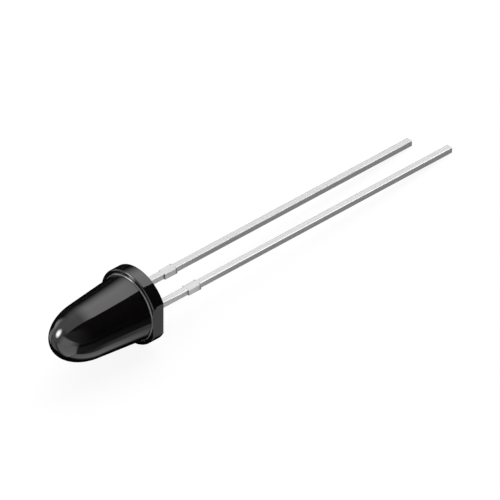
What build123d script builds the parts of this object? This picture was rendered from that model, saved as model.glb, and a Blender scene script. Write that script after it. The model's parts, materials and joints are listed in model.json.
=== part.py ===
"""Infrared light-emitting diode in a 5 mm radial package.

A leadframe of two flat leads is cast into a round lens body of black epoxy, which passes
infrared. The short lead ends in a cup that holds the emitter die on the optical axis, and
the long lead ends in a post for the bond wire. Lengths are in millimetres, angles in degrees.

The pieces are modelled with the optical axis upright: the seating face, which is the flat
back of the flange, lies in the XY plane, the leads point down and stand along X, and the
flat of the flange faces +X. At the end they are laid down as the loose part comes to rest on
a table, dome towards -Y and a little up. The origin stays at the centre of the seating face.
"""

import os
from math import asin, cos, degrees, radians, sqrt, tan

from build123d import *

# --- Lens body: a flange with a flat, a tapered barrel and an elliptical dome ---
flange_diameter = 5.9
flange_thickness = 1.0
flat_land = 0.08  # what the flat leaves of the flange in front of the barrel's side
barrel_diameter = 5.12  # where the barrel leaves the flange
barrel_draft = 5.43  # narrowing towards the dome, on each side
body_height = 8.12  # seating face to the tip of the dome
dome_length = 3.42  # half axis of the dome's ellipse, along the optical axis
rim_round = 0.11  # on the front edge of the flange
root_round = 0.15  # in the corner between flange and barrel
meniscus_width = 0.18  # epoxy that crept up to each lead, on the seating face
meniscus_height = 0.3  # the same, along the lead

# --- Leads outside the body: stamped strip, cut square at the ends ---
lead_pitch = 2.54
lead_width = 0.5  # in the plane of the two leads
lead_thickness = 0.48
lead_round = 0.05  # on the long edges
long_lead_length = 29.0  # behind the seating face
lead_step = 1.6  # by how much the other lead is shorter
bar_distance = 3.35  # seating face to the stubs of the sheared tie bar
bar_width = 1.2
bar_stub = 0.1  # how far a stub stands out of the lead's edge

# --- Leads inside the body ---
shoulder_height = 1.4  # where the strips start to widen
shoulder_rise = 0.5  # height of the slope up to the full width
flag_reach = 0.23  # how far the widened leads stand out beyond the strips
flag_height = 2.6  # where the long lead's flag ends
anvil_height = 2.95  # top of the short lead's flat part
anvil_corner = 0.3  # cut off its outer top corner
cup_root = 0.2  # how far the cup reaches down into the anvil
cup_height = 0.65  # rim above the anvil
cup_base_radius = 0.32
cup_rim_radius = 0.7
cup_wall = 0.1  # at the rim
cup_depth = 0.35
cup_floor_radius = 0.3
post_gap = 0.3  # between the cup's rim and the post
post_width = 0.45
post_rise = 0.3  # top of the post above the cup's rim

# --- Emitter: die, the silver epoxy under it and the gold bond wire ---
die_side = 0.32
die_height = 0.2
attach_radius = 0.26
attach_thickness = 0.03
wire_diameter = 0.04
ball_diameter = 0.09  # the melted end of the wire on the die
ball_height = 0.03
loop_height = 0.3  # top of the wire's loop above the post
loop_radius = 0.25
stitch_start = 0.12  # wire touches the post this far in from its inner edge
stitch_length = 0.2
stitch_radius = 0.5

flange_radius = flange_diameter / 2
barrel_radius = barrel_diameter / 2
half_pitch = lead_pitch / 2
strip_inner = half_pitch - lead_width / 2
strip_outer = half_pitch + lead_width / 2
short_lead_length = long_lead_length - lead_step


def lead_strip(centre, length):
    """The straight strip of one lead, from its cut end to its shoulder in the body."""
    with BuildPart() as strip:
        with BuildSketch(Plane.XY.offset(-length)):
            with Locations((centre, 0)):
                RectangleRounded(lead_width, lead_thickness, lead_round)
        extrude(amount=length + shoulder_height)
        with BuildSketch(Plane.XY.offset(-bar_distance)):
            with Locations((centre, 0)):
                Rectangle(lead_width + 2 * bar_stub, lead_thickness)
        extrude(amount=-bar_width)
    return strip.part


# --- Short lead: strip, anvil and reflector cup ---
rim_height = anvil_height + cup_height
floor_height = rim_height - cup_depth
short_strip = lead_strip(-half_pitch, short_lead_length)

with BuildPart() as short_lead:
    add(short_strip)
    # Anvil, as thick as the strip
    with BuildSketch(Plane.XZ):
        with BuildLine():
            Polyline(
                (-strip_inner, shoulder_height),
                (cup_base_radius, anvil_height - cup_root),
                (cup_base_radius, anvil_height),
                (-strip_outer - flag_reach + anvil_corner, anvil_height),
                (-strip_outer - flag_reach, anvil_height - anvil_corner),
                (-strip_outer - flag_reach, shoulder_height + shoulder_rise),
                (-strip_outer, shoulder_height),
                close=True,
            )
        make_face()
    extrude(amount=lead_thickness / 2, both=True)
    # Cup, a cone that is round about the optical axis
    with BuildSketch(Plane.XZ):
        with BuildLine():
            Polyline(
                (0, anvil_height - cup_root),
                (cup_base_radius, anvil_height - cup_root),
                (cup_rim_radius, rim_height),
                (0, rim_height),
                close=True,
            )
        make_face()
    revolve(axis=Axis.Z)
    # Hollow of the cup, which reflects the light of the die's sides forwards
    with BuildSketch(Plane.XZ):
        with BuildLine():
            Polyline(
                (0, floor_height),
                (cup_floor_radius, floor_height),
                (cup_rim_radius - cup_wall, rim_height),
                (0, rim_height),
                close=True,
            )
        make_face()
    revolve(axis=Axis.Z, mode=Mode.SUBTRACT)

# --- Long lead: strip, flag and post ---
post_inner = cup_rim_radius + post_gap
post_outer = post_inner + post_width
post_height = rim_height + post_rise
long_strip = lead_strip(half_pitch, long_lead_length)

with BuildPart() as long_lead:
    add(long_strip)
    # Flag and post, as thick as the strip
    with BuildSketch(Plane.XZ):
        with BuildLine():
            Polyline(
                (strip_inner, shoulder_height),
                (post_inner, shoulder_height + shoulder_rise),
                (post_inner, post_height),
                (post_outer, post_height),
                (post_outer, flag_height + shoulder_rise),
                (strip_outer + flag_reach, flag_height),
                (strip_outer + flag_reach, shoulder_height + shoulder_rise),
                (strip_outer, shoulder_height),
                close=True,
            )
        make_face()
    extrude(amount=lead_thickness / 2, both=True)

# --- Die, fixed to the floor of the cup by silver epoxy ---
die_bottom = floor_height + attach_thickness
die_top = die_bottom + die_height

with BuildPart() as die_attach:
    with BuildSketch(Plane.XY.offset(floor_height)):
        Circle(attach_radius)
    extrude(amount=attach_thickness)

with BuildPart() as emitter_die:
    with BuildSketch(Plane.XY.offset(die_bottom)):
        Rectangle(die_side, die_side)
    extrude(amount=die_height)

# --- Bond wire: from a ball on the die, over in a loop, to a stitch on top of the post ---
wire_radius = wire_diameter / 2
stitch_height = post_height + wire_radius

with BuildPart() as bond_wire:
    with BuildSketch(Plane.XY.offset(die_top)):
        Circle(ball_diameter / 2)
    extrude(amount=ball_height)
    with BuildLine(Plane.XZ) as wire_path:
        FilletPolyline(
            (0, die_top),
            (0, post_height + loop_height),
            (post_inner + stitch_start, stitch_height),
            (post_inner + stitch_start + stitch_length, stitch_height),
            radius=[loop_radius, stitch_radius],
        )
    with BuildSketch(Plane.XY.offset(die_top)):
        Circle(wire_radius)
    sweep(path=wire_path.wires()[0])

# --- Lens body, cast around the leadframe, the die and the wire ---
# The dome's ellipse is tangent to the tapered side of the barrel, a line that would be
# cone_radius away from the axis at the height of the ellipse's centre.
slope = tan(radians(barrel_draft))
dome_centre = body_height - dome_length
cone_radius = barrel_radius - slope * (dome_centre - flange_thickness)
dome_radius = sqrt(cone_radius**2 - (slope * dome_length) ** 2)
tangent_radius = dome_radius**2 / cone_radius
tangent_height = dome_centre + slope * dome_length**2 / cone_radius
tangent_angle = degrees(asin((tangent_height - dome_centre) / dome_length))
# The round in the corner is tangent to the flange's front and to the side of the barrel
root_radius = barrel_radius - slope * root_round + root_round / cos(radians(barrel_draft))
flat_distance = barrel_radius + flat_land

with BuildPart() as lens_body:
    # Flange, barrel and dome, turned about the optical axis
    with BuildSketch(Plane.XZ):
        with BuildLine():
            Polyline(
                (0, body_height),
                (0, 0),
                (flange_radius, 0),
                (flange_radius, flange_thickness - rim_round),
            )
            CenterArc(
                (flange_radius - rim_round, flange_thickness - rim_round),
                rim_round,
                start_angle=0,
                arc_size=90,
            )
            Line((flange_radius - rim_round, flange_thickness), (root_radius, flange_thickness))
            root_arc = CenterArc(
                (root_radius, flange_thickness + root_round),
                root_round,
                start_angle=270,
                arc_size=barrel_draft - 90,
            )
            Line(root_arc @ 1, (tangent_radius, tangent_height))
            EllipticalCenterArc(
                (0, dome_centre),
                dome_radius,
                dome_length,
                start_angle=tangent_angle,
                arc_size=90 - tangent_angle,
            )
        make_face()
    revolve(axis=Axis.Z)
    # Flat of the flange
    with Locations((flat_distance, 0, 0)):
        Box(
            flange_diameter,
            2 * flange_diameter,
            4 * flange_thickness,
            align=(Align.MIN, Align.CENTER, Align.CENTER),
            mode=Mode.SUBTRACT,
        )

    # Meniscus: epoxy that crept up each lead before it set
    for centre in (-half_pitch, half_pitch):
        with BuildSketch(Plane.XY):
            with Locations((centre, 0)):
                RectangleRounded(
                    lead_width + 2 * meniscus_width,
                    lead_thickness + 2 * meniscus_width,
                    lead_round + meniscus_width,
                )
        with BuildSketch(Plane.XY.offset(-meniscus_height)):
            with Locations((centre, 0)):
                RectangleRounded(lead_width, lead_thickness, lead_round)
        loft()

    for cast_in in (short_lead, long_lead, die_attach, emitter_die, bond_wire):
        add(cast_in.part, mode=Mode.SUBTRACT)

# --- How the loose part lies ---
# It rests on the rim of its flange, at the back, and on the lower rounded corner of each
# lead's end. Seen from the part, the table's upward normal is (roll, upright, climb). The
# ends of the leads are level, so the part rolls to make up for the shorter lead. The rim is
# level with them, which gives the climb of the dome. The climb stands on both sides of that
# equation, so it is found by repeating it.
corner_across = strip_inner + lead_round
corner_down = lead_thickness / 2 - lead_round
roll_per_climb = lead_step / lead_pitch
climb = 0.0
for _ in range(20):
    level = sqrt(1 - climb**2)
    upright = sqrt(1 - climb**2 - (roll_per_climb * climb) ** 2)
    rim_over_ends = (flange_radius - lead_round) * level - corner_down * upright
    climb = rim_over_ends / (long_lead_length - roll_per_climb * corner_across)
roll = roll_per_climb * climb
yaw = roll * climb / level
lying = Plane(
    origin=(0, 0, 0),
    x_dir=(sqrt(1 - yaw**2 - roll**2), yaw, roll),
    z_dir=(0, -level, climb),
).location

os.makedirs("parts", exist_ok=True)

lens_body.part.label = "lens_body"
export_step(lens_body.part.locate(lying), "parts/lens_body.step")

short_lead.part.label = "short_lead"
export_step(short_lead.part.locate(lying), "parts/short_lead.step")

long_lead.part.label = "long_lead"
export_step(long_lead.part.locate(lying), "parts/long_lead.step")

die_attach.part.label = "die_attach"
export_step(die_attach.part.locate(lying), "parts/die_attach.step")

emitter_die.part.label = "emitter_die"
export_step(emitter_die.part.locate(lying), "parts/emitter_die.step")

bond_wire.part.label = "bond_wire"
export_step(bond_wire.part.locate(lying), "parts/bond_wire.step")
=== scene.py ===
"""Finish, stage and camera of an infrared light-emitting diode.

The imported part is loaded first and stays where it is. Each operator below makes one kind of
piece or finish, and they all stand in the sidebar of the 3D view, under Infrared Diode.

The diode lies on its flange and its two leads. Its own axes are used for every shape and
pattern: X from the short lead to the long one, Z along the optical axis towards the dome,
and the origin at the centre of the seating face, which is the flat back of the flange.
"""

import json
from math import asin, atan2, cos, degrees, hypot, pi, radians, sin
from typing import NamedTuple

import bmesh
import bpy
from bpy.props import FloatProperty, FloatVectorProperty, IntProperty, PointerProperty
from mathutils import Matrix, Vector


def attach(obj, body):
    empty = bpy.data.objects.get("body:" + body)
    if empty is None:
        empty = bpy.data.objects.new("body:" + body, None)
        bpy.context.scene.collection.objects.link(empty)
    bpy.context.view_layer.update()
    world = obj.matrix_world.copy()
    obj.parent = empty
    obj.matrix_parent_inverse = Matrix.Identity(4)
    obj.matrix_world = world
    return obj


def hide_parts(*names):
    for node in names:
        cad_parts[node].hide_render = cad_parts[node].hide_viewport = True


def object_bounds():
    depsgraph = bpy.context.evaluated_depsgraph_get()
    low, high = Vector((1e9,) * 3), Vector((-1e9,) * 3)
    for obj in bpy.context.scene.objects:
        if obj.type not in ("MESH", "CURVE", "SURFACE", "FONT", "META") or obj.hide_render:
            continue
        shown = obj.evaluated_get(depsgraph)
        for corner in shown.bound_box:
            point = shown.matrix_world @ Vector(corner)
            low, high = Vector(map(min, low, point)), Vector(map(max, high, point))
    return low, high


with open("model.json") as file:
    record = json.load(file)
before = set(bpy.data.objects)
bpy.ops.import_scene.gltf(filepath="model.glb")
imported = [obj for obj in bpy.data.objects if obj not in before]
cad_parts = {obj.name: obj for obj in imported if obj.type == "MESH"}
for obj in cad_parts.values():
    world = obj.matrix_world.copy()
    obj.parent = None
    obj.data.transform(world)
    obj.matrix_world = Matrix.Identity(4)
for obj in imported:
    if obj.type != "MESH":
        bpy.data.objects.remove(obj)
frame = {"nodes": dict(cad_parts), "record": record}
CAD_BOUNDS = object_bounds()

bl_info = {
    "name": "Infrared Diode",
    "version": (1, 0, 0),
    "blender": (4, 5, 0),
    "location": "3D View > Sidebar > Infrared Diode",
    "description": "Finishes, stage and camera of an infrared light-emitting diode",
    "category": "Object",
}

MM = 0.001
UM = 1e-6
BODY = "root"
CAST_IN = ("short_lead", "long_lead", "die_attach", "emitter_die", "bond_wire")


def mount(name):
    """One of the part's mounts, from its record."""
    return next(entry for entry in frame["record"]["mounts"] if entry["name"] == name)


def diode_axes():
    """The matrix from the diode's own axes to the row frame."""
    seat = Vector(mount("seating_face")["pos_m"])
    ahead = -Vector(mount("seating_face")["axis"]).normalized()
    long_side = Vector(mount("long_lead_pin")["pos_m"])
    short_side = Vector(mount("short_lead_pin")["pos_m"])
    across = long_side - short_side
    across = (across - across.dot(ahead) * ahead).normalized()
    turned = Matrix((across, ahead.cross(across), ahead)).transposed()
    return Matrix.Translation(seat) @ turned.to_4x4()


DIODE = diode_axes()
LEAD_PITCH = mount("long_lead_pin")["dims"]["spacing_x_mm"] * MM
LEAD_LENGTHS = {
    "long_lead": mount("long_lead_pin")["dims"]["length_mm"] * MM,
    "short_lead": mount("short_lead_pin")["dims"]["length_mm"] * MM,
}
FLANGE_RADIUS = mount("flange_rim")["dims"]["r_mm"] * MM


# --- Properties ------------------------------------------------------------------------


def length(name, description, default, **limits):
    """A length property, in metres."""
    return FloatProperty(
        name=name,
        description=description,
        default=default,
        min=0,
        unit="LENGTH",
        precision=6,
        **limits,
    )


def angle(name, description, default):
    """An angle property. The default is in degrees."""
    return FloatProperty(
        name=name, description=description, default=radians(default), subtype="ANGLE"
    )


def colour(name, description, default):
    """A colour property."""
    return FloatVectorProperty(
        name=name, description=description, default=default, min=0, max=1, subtype="COLOR"
    )


class LensBodySizes(bpy.types.PropertyGroup):
    """Sizes of the cast lens body."""

    flange_radius: length("Flange radius", "Radius of the flange", FLANGE_RADIUS)
    flange_thickness: length("Flange thickness", "Along the optical axis", 1.0 * MM)
    flat_land: length("Flat land", "Flange left in front of the barrel at the flat", 0.08 * MM)
    barrel_radius: length("Barrel radius", "Where the barrel leaves the flange", 2.56 * MM)
    barrel_draft: angle("Barrel draft", "Narrowing of the barrel on each side", 5.43)
    body_height: length("Body height", "Seating face to the tip of the dome", 8.12 * MM)
    dome_length: length("Dome length", "Half axis of the dome's ellipse", 3.42 * MM)
    rim_round: length("Rim round", "On the front edge of the flange", 0.11 * MM)
    root_round: length("Root round", "Between flange and barrel", 0.15 * MM)
    meniscus_width: length("Meniscus width", "Epoxy round each lead, at its foot", 0.18 * MM)
    meniscus_height: length("Meniscus height", "Epoxy up each lead", 0.3 * MM)
    meniscus_edge: length("Meniscus edge", "Thickness left at its end", 0.008 * MM)
    segments_around: IntProperty(
        name="Segments around", description="Faces round the body", default=192, min=24
    )
    segments_dome: IntProperty(
        name="Segments of the dome", description="From barrel to tip", default=56, min=4
    )


class LeadSizes(bpy.types.PropertyGroup):
    """Sizes of the leads that their finish needs."""

    width: length("Width", "In the plane of the two leads", 0.5 * MM)
    thickness: length("Thickness", "Across the plane of the leads", 0.48 * MM)
    edge_round: length("Edge round", "On the long edges", 0.05 * MM)
    bar_distance: length("Tie bar", "Seating face to the stubs of the tie bar", 3.35 * MM)
    bar_width: length("Tie bar width", "Along the lead", 1.2 * MM)
    bar_stub: length("Tie bar stub", "Left standing out of the lead's edge", 0.1 * MM)
    edge_break: length("Edge break", "On the sheared edges", 0.02 * MM)


class FinishSettings(bpy.types.PropertyGroup):
    """Colours of the materials."""

    epoxy: colour("Black epoxy", "Lens body", (0.0045, 0.0045, 0.0047))
    # Painted highlight: a light line in the corner between flange and barrel, for the reflection
    # on the round there
    root_highlight: colour("Painted_highlight", "In the corner between flange and barrel", (0.16, 0.16, 0.16))
    tin: colour("Tin", "Plating of the leads", (0.49, 0.49, 0.49))
    sheared: colour("Bare steel", "Where a lead was cut", (0.54, 0.538, 0.532))
    silver: colour("Silver epoxy", "Under the die", (0.52, 0.52, 0.53))
    crystal: colour("Crystal", "Emitter die", (0.07, 0.072, 0.085))
    gold: colour("Gold", "Bond wire and pad", (0.95, 0.69, 0.3))


class StageSettings(bpy.types.PropertyGroup):
    """Floor, lighting and camera."""

    floor_colour: colour("Floor", "Pale, matt", (0.12, 0.12, 0.12))
    floor_glow: FloatProperty(
        name="Floor glow", description="Lifts the floor to white", default=0.9, min=0
    )
    ambient: FloatProperty(
        name="Ambient", description="World light on matt surfaces", default=0.35, min=0
    )
    camera_azimuth: angle("Azimuth", "Camera, from -Y towards +X", 49.36)
    camera_elevation: angle("Elevation", "Camera above the horizon", 42.95)
    camera_roll: angle("Roll", "Camera about its own line of sight", -2.08)
    camera_distance: length("Distance", "Camera to the point it aims at", 1.1395)
    camera_lens: FloatProperty(
        name="Lens",
        description="Focal length on a 36 mm sensor",
        default=1151.13,
        unit="CAMERA",
    )
    camera_aim: FloatVectorProperty(
        name="Aim",
        description="Point in the middle of the picture",
        default=(3.488 * MM, 7.621 * MM, 2.489 * MM),
        subtype="TRANSLATION",
    )


# --- Node trees ------------------------------------------------------------------------


class Value:
    """A number on a node's socket. Arithmetic on it adds Math nodes to the same tree."""

    def __init__(self, tree, socket):
        self.tree = tree
        self.socket = socket

    def math(self, operation, *terms):
        node = self.tree.add("ShaderNodeMath", {"operation": operation}, terms)
        return Value(self.tree, node.outputs[0])

    def __add__(self, other):
        return self.math("ADD", self, other)

    def __radd__(self, other):
        return self.math("ADD", other, self)

    def __sub__(self, other):
        return self.math("SUBTRACT", self, other)

    def __rsub__(self, other):
        return self.math("SUBTRACT", other, self)

    def __mul__(self, other):
        return self.math("MULTIPLY", self, other)

    def __rmul__(self, other):
        return self.math("MULTIPLY", other, self)

    def __truediv__(self, other):
        return self.math("DIVIDE", self, other)

    def __pow__(self, other):
        return self.math("POWER", self, other)

    def __abs__(self):
        return self.math("ABSOLUTE", self)

    def at_least(self, other):
        return self.math("MAXIMUM", self, other)

    def at_most(self, other):
        return self.math("MINIMUM", self, other)

    def above(self, other):
        return self.math("GREATER_THAN", self, other)

    def modulo(self, other):
        return self.math("MODULO", self, other)

    def floor(self):
        return self.math("FLOOR", self)

    def sign(self):
        return self.math("SIGN", self)

    def sqrt(self):
        return self.math("SQRT", self)

    def hypot(self, other):
        return (self * self + other * other).sqrt()

    def sin(self):
        return self.math("SINE", self)

    def cos(self):
        return self.math("COSINE", self)

    def tan(self):
        return self.math("TANGENT", self)

    def arcsin(self):
        return self.math("ARCSINE", self)

    def to(self, other, share):
        """The value a share of the way from this one to another."""
        return self + (other - self) * share

    def ramp(self, low, high):
        """0 below low, 1 above high, and a smooth rise between them."""
        settings = {"interpolation_type": "SMOOTHSTEP"}
        sockets = {"Value": self, "From Min": low, "From Max": high}
        node = self.tree.add("ShaderNodeMapRange", settings, sockets)
        return Value(self.tree, node.outputs["Result"])


class Tree:
    """A node tree that is being built."""

    def __init__(self, node_tree):
        self.node_tree = node_tree

    def add(self, kind, settings=None, sockets=None):
        """Adds a node: its settings first, then a value or a link for each socket."""
        node = self.node_tree.nodes.new(kind)
        for name, setting in (settings or {}).items():
            setattr(node, name, setting)
        if not isinstance(sockets, dict):
            sockets = dict(enumerate(sockets or ()))
        for key, term in sockets.items():
            self.plug(node.inputs[key], term)
        return node

    def plug(self, socket, term):
        """Links a socket to another one, or sets its value. A list gives several links."""
        for item in term if isinstance(term, list) else [term]:
            if isinstance(item, Value):
                item = item.socket
            if isinstance(item, bpy.types.NodeSocket):
                self.node_tree.links.new(item, socket)
            else:
                socket.default_value = item

    def value(self, kind, settings, sockets, output):
        """One output of a new node, as a Value."""
        return Value(self, self.add(kind, settings, sockets).outputs[output])

    def split(self, vector):
        """The three numbers of a vector."""
        parts = self.add("ShaderNodeSeparateXYZ", sockets=[vector])
        return [Value(self, output) for output in parts.outputs]

    def joined(self, x, y, z):
        """A vector made of three numbers."""
        return self.add("ShaderNodeCombineXYZ", sockets=[x, y, z]).outputs[0]


def blank_material(name):
    """A material with no nodes yet, and the tree to put them in."""
    material = bpy.data.materials.new(name)
    material.use_nodes = True
    material.node_tree.nodes.clear()
    return material, Tree(material.node_tree)


def surface(tree, sockets):
    """Ends a material in a Principled shader with these sockets."""
    shader = tree.add("ShaderNodeBsdfPrincipled", sockets=sockets)
    tree.add("ShaderNodeOutputMaterial", sockets={"Surface": shader.outputs[0]})


def diode_position(tree, centre=(0, 0, 0)):
    """The point that is shaded, in millimetres on the diode's own axes, from a centre."""
    place = tree.add("ShaderNodeTexCoord").outputs["Object"]
    settings = {"vector_type": "TEXTURE"}
    sockets = {
        "Vector": place,
        "Location": DIODE @ Vector(centre),
        "Rotation": DIODE.to_euler(),
        "Scale": (MM, MM, MM),
    }
    return tree.add("ShaderNodeMapping", settings, sockets).outputs["Vector"]


def stretched(tree, place, x, y, z):
    """A position stretched by its own factor along each axis."""
    settings = {"operation": "MULTIPLY"}
    return tree.add("ShaderNodeVectorMath", settings, [place, (x, y, z)]).outputs[0]


def noise(tree, place, scale=1.0, detail=2.0, roughness=0.5):
    """Smooth noise from 0 to 1, with so many bumps to a millimetre."""
    sockets = {"Vector": place, "Scale": scale, "Detail": detail, "Roughness": roughness}
    return tree.value("ShaderNodeTexNoise", {}, sockets, "Fac")


def mixed(tree, factor, first, second):
    """One colour turning into another."""
    # The colour's sockets share their names with those of the other data types
    sockets = {0: factor, 6: first, 7: second}
    return tree.add("ShaderNodeMix", {"data_type": "RGBA"}, sockets).outputs[2]


def bump(tree, height, distance, **others):
    """A normal tilted by a height from 0 to 1 that stands for so many metres."""
    sockets = {"Height": height, "Distance": distance, **others}
    return tree.add("ShaderNodeBump", {}, sockets).outputs["Normal"]


def rgba(colour_property, shade=1.0):
    """A colour property as a socket takes it, or a shade of it."""
    return (*(shade * part for part in colour_property), 1.0)


# --- Materials -------------------------------------------------------------------------

# Where a pattern begins and where it is full, in millimetres
BACK_EDGE = (0.0, 0.05)  # ahead of the seating face
ROOT_HIGHLIGHT_EDGE = (0.01, 0.07)  # from the middle of the painted highlight line
END_EDGE = (0.004, 0.012)  # from a lead's cut end
NICK_SHADE_EDGE = (0.02, 0.07)  # along the lead, from the middle of the painted shade line
NICK_SHADE_DEPTH = 0.03
PAD_EDGE = (0.058, 0.062)  # round the pad on the die
STREET_EDGE = (0.142, 0.148)  # from the die's middle to where the saw ran
DIE_SKIN = 0.004  # the die's top, with its metal
# Places as a share of a size
ROOT_HIGHLIGHT_OUT = 0.24  # of the round between flange and barrel, to the middle of its face
ROOT_HIGHLIGHT_AHEAD = 0.26
STUB_TOP = 0.6  # of a tie-bar stub, above which it is bare
NICK_SHADE_PLACE = 0.9  # of the tie bar's width


def black_epoxy(colours, sizes):
    """Cast black epoxy: glassy where the mould was polished, duller on its open back."""
    material, tree = blank_material("black_epoxy")
    place = diode_position(tree)
    across, through, height = tree.split(place)
    back = 1.0 - height.ramp(*BACK_EDGE)
    # Painted highlight: a thin light line in the corner between flange and barrel, in place of
    # the reflection on the round there
    ring_radius = (sizes.barrel_radius + ROOT_HIGHLIGHT_OUT * sizes.root_round) / MM
    ring_height = (sizes.flange_thickness + ROOT_HIGHLIGHT_AHEAD * sizes.root_round) / MM
    from_ring = (across.hypot(through) - ring_radius).hypot(height - ring_height)
    on_root_highlight = 1.0 - from_ring.ramp(*ROOT_HIGHLIGHT_EDGE)
    # Slow swell of the cast surface, and fine pores on the back, which set in the open
    swell = noise(tree, place, scale=0.45, detail=1.0)
    pores = noise(tree, place, scale=14.0, detail=3.0, roughness=0.6)
    cloud = noise(tree, place, scale=1.7, detail=3.0)
    swelling = bump(tree, swell, 4 * UM)
    deep = rgba(colours.epoxy)
    warm = (deep[0] * 1.35, deep[1], deep[2] * 1.1, 1.0)
    sockets = {
        "Base Color": mixed(tree, on_root_highlight, mixed(tree, cloud, deep, warm), rgba(colours.root_highlight)),
        "Roughness": 0.02 + 0.012 * cloud + back * (0.16 + 0.1 * pores),
        "IOR": 1.5,
        "Normal": bump(tree, pores, 3 * UM, Strength=back, Normal=swelling),
    }
    surface(tree, sockets)
    return material


def tinned_steel(colours, sizes):
    """Rolled strip with a bright tin coat, bare and torn where it was sheared."""
    material, tree = blank_material("tinned_steel")
    place = diode_position(tree)
    across, _, height = tree.split(place)
    # The two leads are alike about the optical axis
    off_centre = abs(abs(across) - LEAD_PITCH / 2 / MM)
    half_width = sizes.width / 2 / MM
    stub = sizes.bar_stub / MM
    on_stub = off_centre.ramp(half_width + STUB_TOP * stub, half_width + stub)
    longer = (LEAD_LENGTHS["long_lead"] - LEAD_LENGTHS["short_lead"]) / MM
    tip = -LEAD_LENGTHS["short_lead"] / MM - longer * across.above(0)
    on_end = 1.0 - (height - tip).ramp(*END_EDGE)
    cut = on_stub.at_least(on_end) * (1.0 - height.above(0))
    # Painted shade: a dark line on the edge where the stub ends, for the shade of a nick that the
    # shear left
    from_nick_shade = abs(height + (sizes.bar_distance + NICK_SHADE_PLACE * sizes.bar_width) / MM)
    at_edge = off_centre.ramp(half_width - NICK_SHADE_DEPTH, half_width)
    nick_shade = (1.0 - from_nick_shade.ramp(*NICK_SHADE_EDGE)) * at_edge
    # Rolling lines run along the strip, tears across its thickness where it was sheared
    lines = noise(tree, stretched(tree, place, 26, 26, 0.35), detail=3.0, roughness=0.6)
    waves = noise(tree, place, scale=1.6)
    tears = noise(tree, stretched(tree, place, 30, 2, 30), detail=3.0, roughness=0.7)
    relief = lines * (1.0 - cut) + tears * cut
    tin = mixed(tree, lines, rgba(colours.tin), rgba(colours.tin, 0.88))
    steel = mixed(tree, cut, tin, rgba(colours.sheared))
    sockets = {
        # The painted shade is a darkened copy of the tin
        "Base Color": mixed(tree, nick_shade, steel, rgba(colours.tin, 0.35)),
        "Metallic": 1.0,
        "Roughness": 0.18 + 0.12 * lines + 0.08 * waves + 0.1 * cut,
        "Normal": bump(tree, relief + waves * 0.6, 5 * UM),
    }
    surface(tree, sockets)
    return material


def silver_epoxy(colours):
    """Silver flakes in a matt paste."""
    material, tree = blank_material("silver_epoxy")
    place = diode_position(tree)
    flakes = tree.value("ShaderNodeTexVoronoi", {}, {"Vector": place, "Scale": 90.0}, "Distance")
    shine = 1.0 - flakes.ramp(0.2, 0.5)
    sockets = {
        "Base Color": mixed(tree, shine, rgba(colours.silver, 0.6), rgba(colours.silver)),
        "Metallic": 0.8 * shine,
        "Roughness": 0.65 - 0.3 * shine,
        "Normal": bump(tree, flakes, 4 * UM),
    }
    surface(tree, sockets)
    return material


def emitter_crystal(colours):
    """Sawn crystal with a polished top, and a gold pad where the wire is bonded."""
    material, tree = blank_material("emitter_crystal")
    place = diode_position(tree)
    across, through, height = tree.split(place)
    top = height.above(frame_height("emitter_die") - DIE_SKIN)
    pad = top * (1.0 - across.hypot(through).ramp(*PAD_EDGE))
    street = top * abs(across).at_least(abs(through)).ramp(*STREET_EDGE)
    sawn = noise(tree, stretched(tree, place, 3, 3, 120), detail=3.0, roughness=0.6)
    sockets = {
        "Base Color": mixed(tree, pad, rgba(colours.crystal), rgba(colours.gold)),
        "Metallic": pad.at_least(street * 0.4),
        "Roughness": 0.12 + 0.4 * (1.0 - top) + 0.15 * sawn,
        "Normal": bump(tree, sawn * (1.0 - top), 2 * UM),
    }
    surface(tree, sockets)
    return material


def frame_height(node):
    """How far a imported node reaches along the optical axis, in millimetres."""
    inverse = DIODE.inverted()
    points = frame["nodes"][node].data.vertices
    return max((inverse @ point.co).z for point in points) / MM


def drawn_gold(colours):
    """Drawn wire, with fine lines from the die round it."""
    material, tree = blank_material("gold")
    place = diode_position(tree)
    lines = noise(tree, place, scale=60.0, detail=3.0)
    sockets = {
        "Base Color": mixed(tree, lines, rgba(colours.gold), rgba(colours.gold, 0.92)),
        "Metallic": 1.0,
        "Roughness": 0.16 + 0.12 * lines,
        "Normal": bump(tree, lines, 1 * UM),
    }
    surface(tree, sockets)
    return material


# --- Lens body -------------------------------------------------------------------------

LENS_INPUTS = {
    "Flange radius": "flange_radius",
    "Flange thickness": "flange_thickness",
    "Flat land": "flat_land",
    "Barrel radius": "barrel_radius",
    "Barrel draft": "barrel_draft",
    "Body height": "body_height",
    "Dome length": "dome_length",
    "Rim round": "rim_round",
    "Root round": "root_round",
    "Meniscus width": "meniscus_width",
    "Meniscus height": "meniscus_height",
    "Meniscus edge": "meniscus_edge",
    "Segments around": "segments_around",
    "Segments of the dome": "segments_dome",
}
LEAD_INPUTS = {
    "Lead width": "width",
    "Lead thickness": "thickness",
    "Lead round": "edge_round",
}
ROUND_STEPS = 8  # faces across a round
BARREL_STEPS = 4  # faces along the barrel
CORNER_STEPS = 4  # faces round a corner of the meniscus
MENISCUS_STEPS = 8
MENISCUS_ROOT = 0.05 * MM  # how deep the meniscus starts in the body
MERGE = 0.05 * UM
STEEP_EDGE = radians(22)  # edges of the body that turn more than this are creases


def wrapped_sheet(tree, along, around, place):
    """A grid of faces, along by around, whose points go where place(u, v) says."""
    counts = {"Vertices X": along + 1, "Vertices Y": around + 1}
    grid = tree.add("GeometryNodeMeshGrid", sockets=counts)
    u, v, _ = tree.split(grid.outputs["UV Map"])
    sockets = {"Geometry": grid.outputs["Mesh"], "Position": place(u, v)}
    return tree.add("GeometryNodeSetPosition", sockets=sockets).outputs[0]


def closed_shell(tree, sheets):
    """Sheets sewn into one closed shell."""
    whole = tree.add("GeometryNodeJoinGeometry", sockets=[sheets]).outputs[0]
    sockets = {"Geometry": whole, "Distance": MERGE}
    return tree.add("GeometryNodeMergeByDistance", sockets=sockets).outputs[0]


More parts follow.
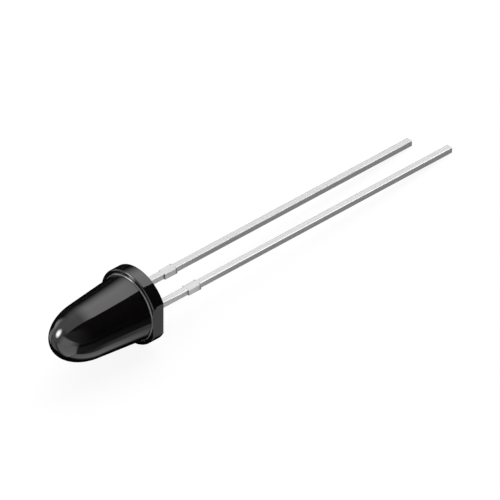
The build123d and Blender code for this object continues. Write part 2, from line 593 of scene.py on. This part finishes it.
def body_shell(tree, size):
    """Flange, barrel and dome turned about the optical axis, then cut by the flat."""
    around = size["Segments around"]
    thickness = size["Flange thickness"]
    flange = size["Flange radius"]
    rim = size["Rim round"]
    root = size["Root round"]

    def ring(v, radius, height):
        """A point on a circle round the axis; it turns so that the faces look outwards."""
        theta = v * (-2 * pi)
        return tree.joined(radius * theta.cos(), radius * theta.sin(), height)

    # The dome's ellipse is tangent to the side of the barrel
    draft = size["Barrel draft"]
    slope = draft.tan()
    dome_length = size["Dome length"]
    centre = size["Body height"] - dome_length
    cone_radius = size["Barrel radius"] - slope * (centre - thickness)
    dome_radius = (cone_radius * cone_radius - (slope * dome_length) ** 2.0).sqrt()
    tangent = (slope * dome_length / cone_radius).arcsin()
    # The round in the corner between flange and barrel, about a ring in the air
    root_height = thickness + root
    root_radius = size["Barrel radius"] - slope * root + root / draft.cos()

    def seating_face(u, v):
        return ring(v, flange * u, 0.0)

    def flange_side(u, v):
        return ring(v, flange, (thickness - rim) * u)

    def flange_rim(u, v):
        bend = u * (pi / 2)
        return ring(v, flange - rim + rim * bend.cos(), thickness - rim + rim * bend.sin())

    def flange_front(u, v):
        return ring(v, (flange - rim).to(root_radius, u), thickness)

    def barrel_root(u, v):
        bend = u * (pi / 2 - draft)
        return ring(v, root_radius - root * bend.sin(), root_height - root * bend.cos())

    def barrel_side(u, v):
        foot = (root_radius - root * draft.cos(), root_height - root * draft.sin())
        top = (dome_radius * tangent.cos(), centre + dome_length * tangent.sin())
        return ring(v, foot[0].to(top[0], u), foot[1].to(top[1], u))

    def dome(u, v):
        rise = tangent.to(pi / 2, u)
        return ring(v, dome_radius * rise.cos(), centre + dome_length * rise.sin())

    parts = [
        (1, seating_face),
        (1, flange_side),
        (ROUND_STEPS, flange_rim),
        (1, flange_front),
        (ROUND_STEPS, barrel_root),
        (BARREL_STEPS, barrel_side),
        (size["Segments of the dome"], dome),
    ]
    sheets = []
    for steps, place in parts:
        sheets.append(wrapped_sheet(tree, steps, around, place))
    turned = closed_shell(tree, sheets)

    # What the flat takes off is a block beside the barrel, larger than the flange
    flat = size["Barrel radius"] + size["Flat land"]
    side = flange * 4.0
    block = tree.add("GeometryNodeMeshCube", sockets={"Size": tree.joined(side, side, side)})
    sockets = {
        "Geometry": block.outputs["Mesh"],
        "Translation": tree.joined(flat + side / 2, 0.0, 0.0),
    }
    beside = tree.add("GeometryNodeTransform", sockets=sockets).outputs[0]
    difference = {"operation": "DIFFERENCE", "solver": "MANIFOLD"}
    sockets = {"Mesh 1": turned, "Mesh 2": beside}
    return tree.add("GeometryNodeMeshBoolean", difference, sockets).outputs["Mesh"]


def meniscus_shell(tree, size, centre):
    """Epoxy that crept up a lead: a hollow cone with rounded corners, closed at both ends.

    Along the lead its points are one on the axis inside the body, a ring round it, the foot
    on the seating face, the rings of the slope, and one on the axis again.
    """
    per_corner = CORNER_STEPS + 1
    around = 4 * per_corner
    steps = MENISCUS_STEPS + 3

    def place(u, v):
        step = (u * steps + 0.5).floor()
        climb = ((step - 2.0) / MENISCUS_STEPS).at_least(0.0).at_most(1.0)
        creep = size["Meniscus width"] * (1.0 - climb) ** 2.0 + size["Meniscus edge"]
        sunk = MENISCUS_ROOT * (1.0 - (step - 1.0).at_least(0.0).at_most(1.0))
        height = sunk - size["Meniscus height"] * climb
        at_end = abs(step - steps / 2).above(steps / 2 - 0.5)
        corner_index = (v * around + 0.5).floor().modulo(around)
        quarter = (corner_index / per_corner + 0.001).floor()
        bend = (quarter + (corner_index - quarter * per_corner) / CORNER_STEPS) * (pi / 2)
        middle = (quarter + 0.5) * (pi / 2)
        curve = size["Lead round"] + creep
        reach_x = size["Lead width"] / 2 - size["Lead round"]
        reach_y = size["Lead thickness"] / 2 - size["Lead round"]
        x = middle.cos().sign() * reach_x + curve * bend.cos()
        y = middle.sin().sign() * reach_y + curve * bend.sin()
        return tree.joined(x * (1.0 - at_end) + centre, y * (1.0 - at_end), height)

    return closed_shell(tree, [wrapped_sheet(tree, steps, around, place)])


def geometry_tree(name, inputs):
    """A Geometry Nodes tree with named inputs, and a Value for each."""
    group = bpy.data.node_groups.new(name, "GeometryNodeTree")
    group.is_modifier = True
    for label, kind in inputs.items():
        group.interface.new_socket(name=label, in_out="INPUT", socket_type=kind)
    group.interface.new_socket(name="Geometry", in_out="OUTPUT", socket_type="NodeSocketGeometry")
    tree = Tree(group)
    entry = tree.add("NodeGroupInput")
    return tree, {label: Value(tree, entry.outputs[label]) for label in inputs}


def lens_body_tree():
    """The lens body, cast round everything that is inside it."""
    kinds = {label: "NodeSocketFloat" for label in (*LENS_INPUTS, *LEAD_INPUTS)}
    kinds["Segments around"] = "NodeSocketInt"
    kinds["Segments of the dome"] = "NodeSocketInt"
    kinds["Lead pitch"] = "NodeSocketFloat"
    kinds["Lying turn"] = "NodeSocketRotation"
    kinds["Material"] = "NodeSocketMaterial"
    for node in CAST_IN:
        kinds[node] = "NodeSocketObject"
    tree, size = geometry_tree("cast_lens_body", kinds)

    half_pitch = size["Lead pitch"] / 2
    shells = [body_shell(tree, size)]
    for side in (-1.0, 1.0):
        shells.append(meniscus_shell(tree, size, half_pitch * side))
    union = {"operation": "UNION", "solver": "MANIFOLD"}
    whole = tree.add("GeometryNodeMeshBoolean", union, {"Mesh 2": shells}).outputs["Mesh"]
    sockets = {"Geometry": whole, "Rotation": size["Lying turn"]}
    lying = tree.add("GeometryNodeTransform", sockets=sockets).outputs[0]

    cast = lying
    difference = {"operation": "DIFFERENCE", "solver": "MANIFOLD"}
    for node in CAST_IN:
        packed = tree.add("GeometryNodeObjectInfo", sockets={"Object": size[node]})
        solid = closed_shell(tree, [packed.outputs["Geometry"]])
        sockets = {"Mesh 1": cast, "Mesh 2": solid}
        cast = tree.add("GeometryNodeMeshBoolean", difference, sockets).outputs["Mesh"]

    smooth = tree.add("GeometryNodeSetShadeSmooth", sockets={"Geometry": cast}).outputs[0]
    bend = tree.value("GeometryNodeInputMeshEdgeAngle", {}, {}, "Unsigned Angle")
    settings = {"domain": "EDGE"}
    sockets = {
        "Geometry": smooth,
        "Selection": bend.above(STEEP_EDGE),
        "Shade Smooth": False,
    }
    creased = tree.add("GeometryNodeSetShadeSmooth", settings, sockets).outputs[0]
    real = tree.add("GeometryNodeRealizeInstances", sockets=[creased]).outputs[0]
    sockets = {"Geometry": real, "Material": size["Material"]}
    painted = tree.add("GeometryNodeSetMaterial", sockets=sockets).outputs[0]
    tree.add("NodeGroupOutput", sockets={"Geometry": painted})
    return tree.node_tree


def link(name, mesh):
    """A new object in the scene."""
    piece = bpy.data.objects.new(name, mesh)
    bpy.context.scene.collection.objects.link(piece)
    return piece


def hand_over(piece, node):
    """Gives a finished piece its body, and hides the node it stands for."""
    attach(piece, BODY)
    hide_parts(node)


def even_normals(piece):
    """Large faces keep their own normals where a round runs into them."""
    modifier = piece.modifiers.new("even normals", "WEIGHTED_NORMAL")
    modifier.keep_sharp = True


def made_real(piece):
    """Turns an object's modifiers into a plain mesh."""
    bpy.context.view_layer.update()
    evaluated = piece.evaluated_get(bpy.context.evaluated_depsgraph_get())
    mesh = bpy.data.meshes.new_from_object(evaluated)
    piece.modifiers.clear()
    piece.data = mesh
    mesh.name = piece.name
    return piece


class DIODE_OT_cast_lens_body(bpy.types.Operator):
    """Casts the lens body round the leadframe, the die and the bond wire"""

    bl_idname = "diode.cast_lens_body"
    bl_label = "Cast Lens Body"

    def execute(self, context):
        scene = context.scene
        tree = lens_body_tree()
        values = {"Lead pitch": LEAD_PITCH, "Lying turn": DIODE.to_euler()}
        values["Material"] = black_epoxy(scene.diode_finish, scene.diode_lens_body)
        for label, name in LENS_INPUTS.items():
            values[label] = getattr(scene.diode_lens_body, name)
        for label, name in LEAD_INPUTS.items():
            values[label] = getattr(scene.diode_leads, name)
        for node in CAST_IN:
            values[node] = frame["nodes"][node]
        piece = link("cast_lens_body", bpy.data.meshes.new("cast_lens_body"))
        modifier = piece.modifiers.new("cast", "NODES")
        modifier.node_group = tree
        for item in tree.interface.items_tree:
            if item.in_out == "INPUT":
                modifier[item.identifier] = values[item.name]
        even_normals(piece)
        made_real(piece)
        if not piece.data.polygons:
            raise RuntimeError("the lens body came out empty")
        hand_over(piece, "lens_body")
        return {"FINISHED"}


# --- Leads -----------------------------------------------------------------------------

ONE_PLANE = radians(0.5)  # packed triangles that turn less than this are one face
SHARP_EDGE = radians(50)  # edges that the shear left sharp turn more than this
LEAD_CREASE = radians(35)


def lead_mesh(node, sizes):
    """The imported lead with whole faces, and its sheared edges outside the body broken."""
    to_diode = DIODE.inverted()
    shape = bmesh.new()
    shape.from_mesh(frame["nodes"][node].data)
    bmesh.ops.remove_doubles(shape, verts=shape.verts, dist=MERGE)
    bmesh.ops.dissolve_limit(
        shape, angle_limit=ONE_PLANE, verts=shape.verts, edges=shape.edges
    )
    sheared = []
    for edge in shape.edges:
        ends = [to_diode @ point.co for point in edge.verts]
        outside = max(end.z for end in ends) < -sizes.bar_distance / 2
        if outside and edge.is_manifold and edge.calc_face_angle() > SHARP_EDGE:
            sheared.append(edge)
    bmesh.ops.bevel(
        shape,
        geom=sheared,
        offset=sizes.edge_break,
        offset_type="OFFSET",
        segments=3,
        profile=0.5,
        affect="EDGES",
        clamp_overlap=True,
    )
    for face in shape.faces:
        face.smooth = True
    for edge in shape.edges:
        edge.smooth = not edge.is_manifold or edge.calc_face_angle() < LEAD_CREASE
    bmesh.ops.recalc_face_normals(shape, faces=shape.faces)
    mesh = bpy.data.meshes.new(f"tinned_{node}")
    shape.to_mesh(mesh)
    shape.free()
    return mesh


class DIODE_OT_finish_leads(bpy.types.Operator):
    """Finishes the two leads: broken edges, tin coat, bare steel where they were sheared"""

    bl_idname = "diode.finish_leads"
    bl_label = "Finish Leads"

    def execute(self, context):
        scene = context.scene
        material = tinned_steel(scene.diode_finish, scene.diode_leads)
        for node in ("short_lead", "long_lead"):
            mesh = lead_mesh(node, scene.diode_leads)
            mesh.materials.clear()
            mesh.materials.append(material)
            piece = link(f"tinned_{node}", mesh)
            even_normals(piece)
            made_real(piece)
            hand_over(piece, node)
        return {"FINISHED"}


# --- Emitter ---------------------------------------------------------------------------


class DIODE_OT_finish_emitter(bpy.types.Operator):
    """Paints the die, the silver epoxy under it and its bond wire"""

    bl_idname = "diode.finish_emitter"
    bl_label = "Finish Emitter"

    def execute(self, context):
        colours = context.scene.diode_finish
        finishes = {
            "die_attach": silver_epoxy,
            "emitter_die": emitter_crystal,
            "bond_wire": drawn_gold,
        }
        for node, finish in finishes.items():
            frame["nodes"][node].data.materials.clear()
            frame["nodes"][node].data.materials.append(finish(colours))
        return {"FINISHED"}


# --- Stage -----------------------------------------------------------------------------


UNFADED = (0, 0, 0, 0)


class Patch(NamedTuple):
    """A patch of light on the tent round the object.

    Its longitudes and latitudes are in degrees. About an upright pole they are the azimuth,
    from -Y towards +X, and the elevation. About a lying pole, longitude 0 is the zenith, a
    negative one is to the left of it for an eye that looks along the pole, and the latitude
    counts towards the pole. Each side fades over a share of the patch: those at the first
    and the last longitude, then those at the first and the last latitude.
    """

    name: str
    longitudes: tuple
    latitudes: tuple
    luminance: float
    fades: tuple = UNFADED
    pole: float = None  # azimuth of a lying pole
    oval: float = 0.0  # an oval patch fades over this share of its half width instead
    matt: bool = True  # also falls on matt surfaces


class Cloth(NamedTuple):
    """A cloth on the floor, with four corners in millimetres, or a card that stands there.

    It runs from the side between its first and its last corner to the side between the other
    two, and its luminance is given at both. Its edges fade over a share of it: the two beside
    that run, then those at its start and its end. A card's corners have a height above the
    floor as well.
    """

    name: str
    corners: tuple
    luminance: tuple
    fades: tuple = UNFADED
    layer: int = 0  # which lies on which


PATCHES = (
    Patch("arch_back", (9.5, -80), (-10, 60), 3.05, (0, 0.56, 0.55, 0.1), pole=172.6),
    Patch("arch_front", (9.5, -80), (-60, 30), 1.2, (0, 0.5, 0.4, 0.2), pole=172.6),
    Patch("wall_front", (44, 100), (-22, 90), 2.25, (0.18, 0, 0.42, 0.37), pole=75),
    Patch("fill_left", (-97, 10), (-8, 66), 1.0, (0.1, 0.3, 0, 0.4)),
    Patch("strip_left", (-95, -58), (-8, 34), 2.0, (0.2, 0.6, 0, 0.5)),
    Patch("fill_right", (-20, 105), (-8, 70), 0.25, (0.1, 0.5, 0, 0.2)),
    Patch("lamp_key", (-62, -20), (9, 49), 26, oval=0.9, matt=False),
)
CLOTHS = (
    Cloth(
        "cloth_black",
        ((-650, -650), (650, -650), (650, 650), (-650, 650)),
        luminance=(0, 0),
        layer=1,
    ),
    Cloth(
        "cloth_right",
        ((5, -9.6), (5, 2), (30, 8), (30, -20)),
        luminance=(0.2, 0.05),
        fades=(0, 0.6, 0, 0.1),
        layer=2,
    ),
    Cloth(
        "cloth_ledge",
        ((4.6, -8.4), (5, 3), (7.3, 3), (6.9, -8.4)),
        luminance=(0.1, 0.7),
        fades=(0, 0.1, 0, 0.1),
        layer=3,
    ),
    Cloth(
        "cloth_side",
        ((1.35, -8.9), (2.8, 3), (5, 3), (4.6, -9.3)),
        luminance=(1.5, 0.42),
        fades=(0.45, 0, 0, 0.1),
        layer=3,
    ),
    Cloth(
        "cloth_front",
        ((0.9, -8.9), (-330, -560), (620, -262), (5.6, -9.5)),
        luminance=(2.1, 2.1),
        fades=(0.3, 0.2, 0, 0),
        layer=3,
    ),
    Cloth(
        "cloth_dim",
        ((-6, -12), (-560, -330), (-270, -600), (0.5, -12)),
        luminance=(0.9, 0.9),
        fades=(0.1, 0.2, 0, 0),
        layer=4,
    ),
    Cloth(
        "cloth_left",
        ((-8, -7), (-600, -80), (-500, -300), (-5, -12)),
        luminance=(0.9, 1.5),
        fades=(0.1, 0.3, 0, 0),
        layer=5,
    ),
    Cloth(
        "cloth_flat",
        ((3.9, 0.7), (3.9, 3.4), (7, 3.4), (7, 0.7)),
        luminance=(0.74, 0.74),
        layer=5,
    ),
    Cloth(
        "cloth_leads",
        ((-6, 1.2), (-6, 8.5), (14, 8.5), (5, 1.2)),
        luminance=(1.0, 0.42),
        layer=4,
    ),
    Cloth(
        "cloth_behind",
        ((-6, 8.5), (-6, 60), (12, 60), (12, 8.5)),
        luminance=(0.42, 0.42),
        layer=4,
    ),
    Cloth(
        "card_leads",
        ((4, 3, 2.4), (4, 42, 0.1), (4, 42, 4.6), (4, 3, 7.6)),
        luminance=(2.9, 3.6),
    ),
)
TENT_RADIUS = 0.6
TENT_STEP = 1.5  # degrees
TENT_ROWS = 61  # from the zenith down to the horizon
CLOTH_STEPS = 48
CLOTH_GRADING = 3  # a power, which makes the steps finer at the start of a cloth
CLOTH_LAYER = 2 * UM
FLOOR_HEIGHT = CAD_BOUNDS[0][2] - 12 * UM  # leaves room for the cloths under the part
FLOOR_RADIUS = 1.5
SENSOR_WIDTH = 36.0  # millimetres
CAMERA_CLIP = (0.01, 10.0)


def outwards(longitude, latitude):
    """The direction at a longitude and a latitude, in degrees."""
    turn = radians(longitude)
    rise = radians(latitude)
    return Vector((cos(rise) * sin(turn), -cos(rise) * cos(turn), sin(rise)))


def facing(way, pole):
    """Longitude and latitude of a direction, in degrees, about a pole."""
    if pole is not None:
        ahead = outwards(pole, 0)
        zenith = Vector((0, 0, 1))
        way = Matrix((ahead.cross(zenith), -zenith, ahead)) @ way
    return degrees(atan2(way.x, -way.y)), degrees(asin(min(max(way.z, -1.0), 1.0)))


def smooth_step(share, width):
    """0 at an edge and 1 from a width on."""
    if width <= 0:
        return 1.0
    part = min(max(share / width, 0.0), 1.0)
    return part * part * (3 - 2 * part)


def faded(u, v, fades):
    """How much is left of a patch at a share of its length and of its width."""
    fade = smooth_step(u, fades[0]) * smooth_step(1 - u, fades[1])
    return fade * smooth_step(v, fades[2]) * smooth_step(1 - v, fades[3])


def between(ends, share):
    """A number or a point a share of the way from one end to the other."""
    return ends[0] + (ends[1] - ends[0]) * share


def patch_luminance(patch, way):
    """The luminance of a patch in one direction, 0 beside it."""
    longitude, latitude = facing(way, patch.pole)
    first, last = patch.longitudes
    u = (longitude - first) / (last - first)
    first, last = patch.latitudes
    v = (latitude - first) / (last - first)
    if not (0 <= u <= 1 and 0 <= v <= 1):
        return 0.0
    if patch.oval:
        return patch.luminance * smooth_step(1 - hypot(2 * u - 1, 2 * v - 1), patch.oval)
    return patch.luminance * faded(u, v, patch.fades)


def tent_mesh(name, patches):
    """The tent: part of a sphere, with the brightest patch's luminance at each point."""
    shape = bmesh.new()
    glow = shape.verts.layers.float.new("glow")
    rows = []
    for row in range(TENT_ROWS):
        rows.append([])
        for column in range(int(360 / TENT_STEP)):
            way = outwards(column * TENT_STEP, 90 - row * TENT_STEP)
            point = shape.verts.new(way * TENT_RADIUS)
            point[glow] = max(patch_luminance(patch, way) for patch in patches)
            rows[-1].append(point)
    for low, high in zip(rows, rows[1:]):
        for column, point in enumerate(low):
            shape.faces.new((point, low[column - 1], high[column - 1], high[column]))
    return finished_mesh(name, shape)


def cloth_mesh(cloth):
    """A cloth just above the floor, with its luminance at each of its points."""
    shape = bmesh.new()
    glow = shape.verts.layers.float.new("glow")
    lift = Vector((0, 0, FLOOR_HEIGHT + cloth.layer * CLOTH_LAYER))
    corners = [Vector((*corner, 0)[:3]) * MM + lift for corner in cloth.corners]
    rows = []
    for row in range(CLOTH_STEPS + 1):
        v = row / CLOTH_STEPS
        rows.append([])
        for column in range(CLOTH_STEPS + 1):
            u = (column / CLOTH_STEPS) ** CLOTH_GRADING
            low = between((corners[0], corners[1]), u)
            high = between((corners[3], corners[2]), u)
            point = shape.verts.new(between((low, high), v))
            point[glow] = between(cloth.luminance, u) * faded(v, u, cloth.fades)
            rows[-1].append(point)
    for low, high in zip(rows, rows[1:]):
        for column in range(CLOTH_STEPS):
            shape.faces.new((low[column], low[column + 1], high[column + 1], high[column]))
    return finished_mesh(cloth.name, shape)


def finished_mesh(name, shape):
    """A mesh from a bmesh, which is freed."""
    mesh = bpy.data.meshes.new(name)
    shape.to_mesh(mesh)
    shape.free()
    return mesh


def glow_material():
    """Gives off the luminance that a mesh carries."""
    material, tree = blank_material("glow")
    glow = tree.add("ShaderNodeAttribute", {"attribute_name": "glow"}).outputs["Fac"]
    light = tree.add("ShaderNodeEmission", sockets={"Strength": glow})
    tree.add("ShaderNodeOutputMaterial", sockets={"Surface": light.outputs[0]})
    return material


def shown_white(tree):
    """1 for rays that show the background: the camera's, mirrored and refracted ones."""
    path = tree.add("ShaderNodeLightPath")
    kinds = ("Camera", "Glossy", "Transmission")
    seen, mirrored, refracted = (Value(tree, path.outputs[f"Is {kind} Ray"]) for kind in kinds)
    return seen.at_least(mirrored).at_least(refracted)


def stage_floor(settings):
    """A pale matt floor that takes the object's shadow, lifted to white."""
    material, tree = blank_material("stage_floor")
    mottle = noise(tree, diode_position(tree), scale=0.4, detail=3.0)
    pale = rgba(settings.floor_colour)
    paler = rgba(settings.floor_colour, 1.03)
    sockets = {
        "Base Color": mixed(tree, mottle, pale, paler),
        "Roughness": 1.0,
        "Specular IOR Level": 0.0,
        "Emission Color": (1.0, 1.0, 1.0, 1.0),
        "Emission Strength": shown_white(tree) * settings.floor_glow,
    }
    surface(tree, sockets)
    material.cycles.emission_sampling = "NONE"
    shape = bmesh.new()
    bmesh.ops.create_circle(shape, cap_ends=True, segments=96, radius=FLOOR_RADIUS)
    bmesh.ops.translate(shape, verts=shape.verts, vec=(0, 0, FLOOR_HEIGHT))
    mesh = finished_mesh("stage_floor", shape)
    mesh.materials.append(material)
    link("stage_floor", mesh)


def hang(mesh, material, matt=False, glossy=True):
    """Adds a tent or a cloth to the stage, for the rays that may see it."""
    mesh.materials.append(material)
    sheet = link(mesh.name, mesh)
    sheet.visible_camera = False
    sheet.visible_diffuse = matt
    sheet.visible_glossy = glossy
    sheet.visible_shadow = False


def stage_tent():
    """Hangs the tent round the object, and lays the cloths on the floor.

    The tent hangs twice: glossy surfaces see all its patches, and matt ones see it without
    the lamp, which would throw a hard shadow.
    """
    material = glow_material()
    hang(tent_mesh("tent_glossy", PATCHES), material)
    matt = [patch for patch in PATCHES if patch.matt]
    hang(tent_mesh("tent_matt", matt), material, matt=True, glossy=False)
    for cloth in CLOTHS:
        hang(cloth_mesh(cloth), material)


def stage_world(settings):
    """White where it is seen, and a little light from all round."""
    world = bpy.data.worlds.new("studio")
    bpy.context.scene.world = world
    world.use_nodes = True
    world.node_tree.nodes.clear()
    tree = Tree(world.node_tree)
    strength = shown_white(tree) * (1.0 - settings.ambient) + settings.ambient
    sky = tree.add("ShaderNodeBackground", sockets={"Strength": strength, "Color": (1, 1, 1, 1)})
    tree.add("ShaderNodeOutputWorld", sockets={"Surface": sky.outputs[0]})
    world.cycles.sampling_method = "NONE"


def stage_camera(settings):
    """The camera: far away, with a long lens, looking down at the dome and the flat."""
    data = bpy.data.cameras.new("camera")
    data.lens = settings.camera_lens
    data.sensor_width = SENSOR_WIDTH
    data.clip_start, data.clip_end = CAMERA_CLIP
    back = outwards(degrees(settings.camera_azimuth), degrees(settings.camera_elevation))
    level = Vector((0, 0, 1)).cross(back).normalized()
    upright = back.cross(level)
    roll = settings.camera_roll
    right = level * cos(roll) + upright * sin(roll)
    up = back.cross(right)
    aim = Vector(settings.camera_aim)
    camera = link("camera", data)
    turned = Matrix((right, up, back)).transposed().to_4x4()
    camera.matrix_world = Matrix.Translation(aim + back * settings.camera_distance) @ turned
    bpy.context.scene.camera = camera


class DIODE_OT_set_stage(bpy.types.Operator):
    """Sets the floor, the light tent, the world and the camera"""

    bl_idname = "diode.set_stage"
    bl_label = "Set Stage"

    def execute(self, context):
        settings = context.scene.diode_stage
        stage_floor(settings)
        stage_tent()
        stage_world(settings)
        stage_camera(settings)
        context.scene.view_settings.view_transform = "Standard"
        return {"FINISHED"}


# --- Add-on ----------------------------------------------------------------------------


class DIODE_PT_sidebar(bpy.types.Panel):
    """Pieces, finishes and stage of the diode"""

    bl_idname = "DIODE_PT_sidebar"
    bl_label = "Infrared Diode"
    bl_space_type = "VIEW_3D"
    bl_region_type = "UI"
    bl_category = "Infrared Diode"

    def draw(self, context):
        scene = context.scene
        groups = (
            (scene.diode_lens_body, DIODE_OT_cast_lens_body),
            (scene.diode_leads, DIODE_OT_finish_leads),
            (scene.diode_finish, DIODE_OT_finish_emitter),
            (scene.diode_stage, DIODE_OT_set_stage),
        )
        for group, operator in groups:
            box = self.layout.box()
            for name in group.__annotations__:
                box.prop(group, name)
            box.operator(operator.bl_idname)


GROUPS = {
    "diode_lens_body": LensBodySizes,
    "diode_leads": LeadSizes,
    "diode_finish": FinishSettings,
    "diode_stage": StageSettings,
}
CLASSES = (
    *GROUPS.values(),
    DIODE_OT_cast_lens_body,
    DIODE_OT_finish_leads,
    DIODE_OT_finish_emitter,
    DIODE_OT_set_stage,
    DIODE_PT_sidebar,
)


def register():
    for cls in CLASSES:
        bpy.utils.register_class(cls)
    for name, group in GROUPS.items():
        setattr(bpy.types.Scene, name, PointerProperty(type=group))


def unregister():
    for name in GROUPS:
        delattr(bpy.types.Scene, name)
    for cls in reversed(CLASSES):
        bpy.utils.unregister_class(cls)


def main():
    register()
    bpy.ops.diode.cast_lens_body()
    bpy.ops.diode.finish_leads()
    bpy.ops.diode.finish_emitter()
    bpy.ops.diode.set_stage()


if __name__ == "__main__":
    main()
